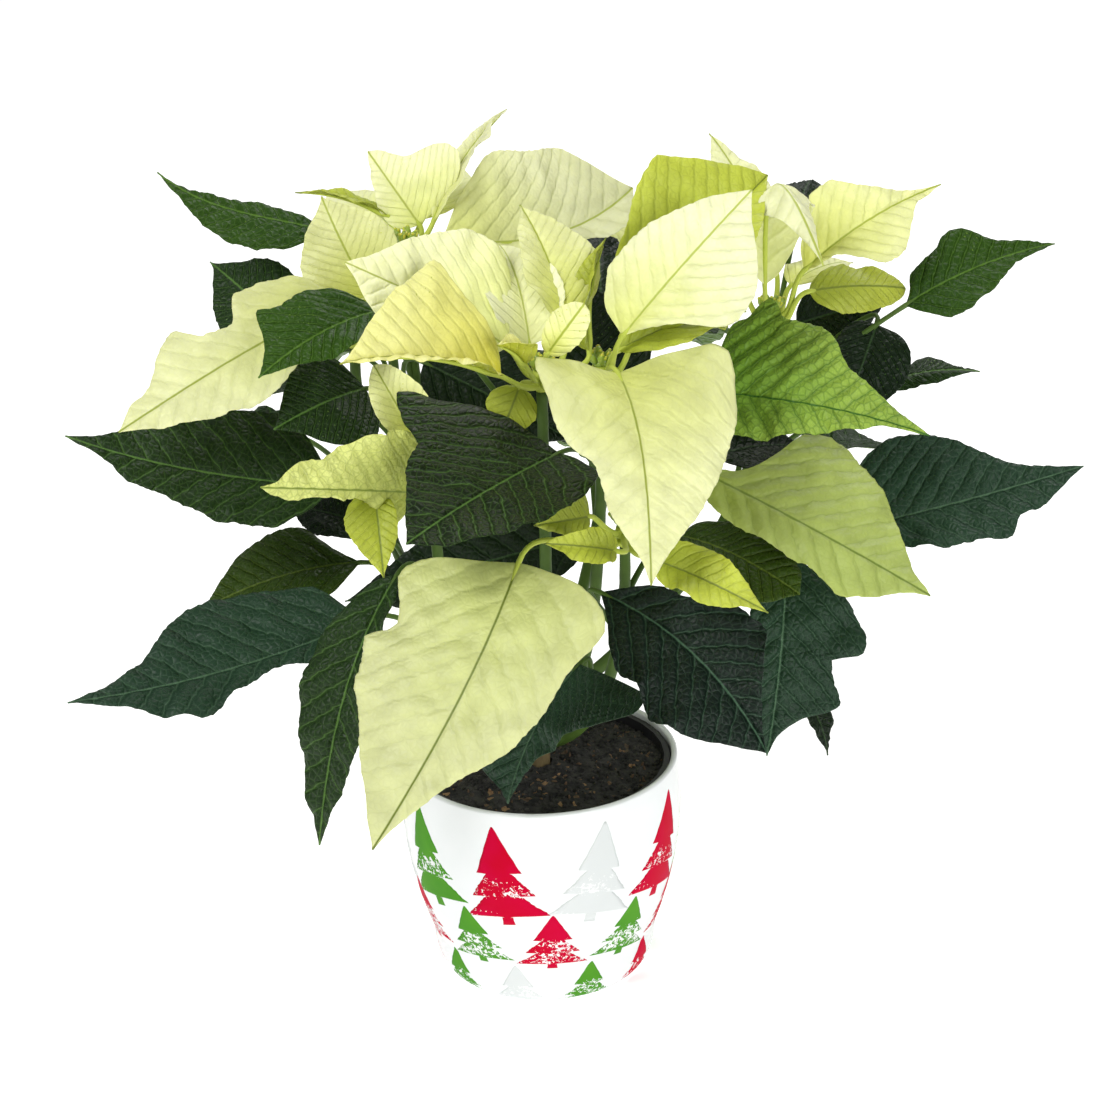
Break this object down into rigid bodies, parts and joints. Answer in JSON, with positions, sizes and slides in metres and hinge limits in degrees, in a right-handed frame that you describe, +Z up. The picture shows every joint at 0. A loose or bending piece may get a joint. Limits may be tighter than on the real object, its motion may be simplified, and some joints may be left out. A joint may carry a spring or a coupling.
{
  "type": "potted poinsettia with cream bracts",
  "caption": "Poinsettia with cream-yellow bracts and dark green leaves, growing in a white printed cover pot that stands on a table.",
  "frame": {"origin": "middle of the flat underside of the cover pot, on the pot's axis", "axes": "+Z up, +X to the right and +Y away from the front that the picture shows"},
  "size_m": [0.4684, 0.4313, 0.4095],
  "materials": {
    "glaze": "glazed white earthenware with a worn red, green and grey print",
    "black_plastic": "thin black moulded plastic",
    "soil": "dark crumbly peat",
    "stem_wood": "brown-green woody bark",
    "leaf": "dark green leaf with pale veins",
    "bract": "soft cream-yellow bract with fine greenish veins",
    "bud": "yellow-green bud"
  },
  "bodies": {
    "root": {"cover_pot": "glaze", "grower_pot": "black_plastic", "soil": "soil", "main_stem": "stem_wood", "shoot_a": "leaf", "shoot_b": "leaf", "shoot_c": "leaf", "shoot_d": "leaf", "shoot_e": "leaf", "shoot_f": "leaf", "shoot_g": "leaf", "shoot_h": "leaf", "shoot_i": "leaf", "bracts_a": "bract", "bracts_b": "bract", "bracts_c": "bract", "bracts_d": "bract", "bracts_e": "bract", "bracts_f": "bract", "bracts_g": "bract", "bracts_h": "bract", "bracts_i": "bract", "cyathia_a": "bud", "cyathia_b": "bud", "cyathia_c": "bud", "cyathia_d": "bud", "cyathia_e": "bud", "cyathia_f": "bud", "cyathia_g": "bud", "cyathia_h": "bud", "cyathia_i": "bud"}
  },
  "joints": []
}
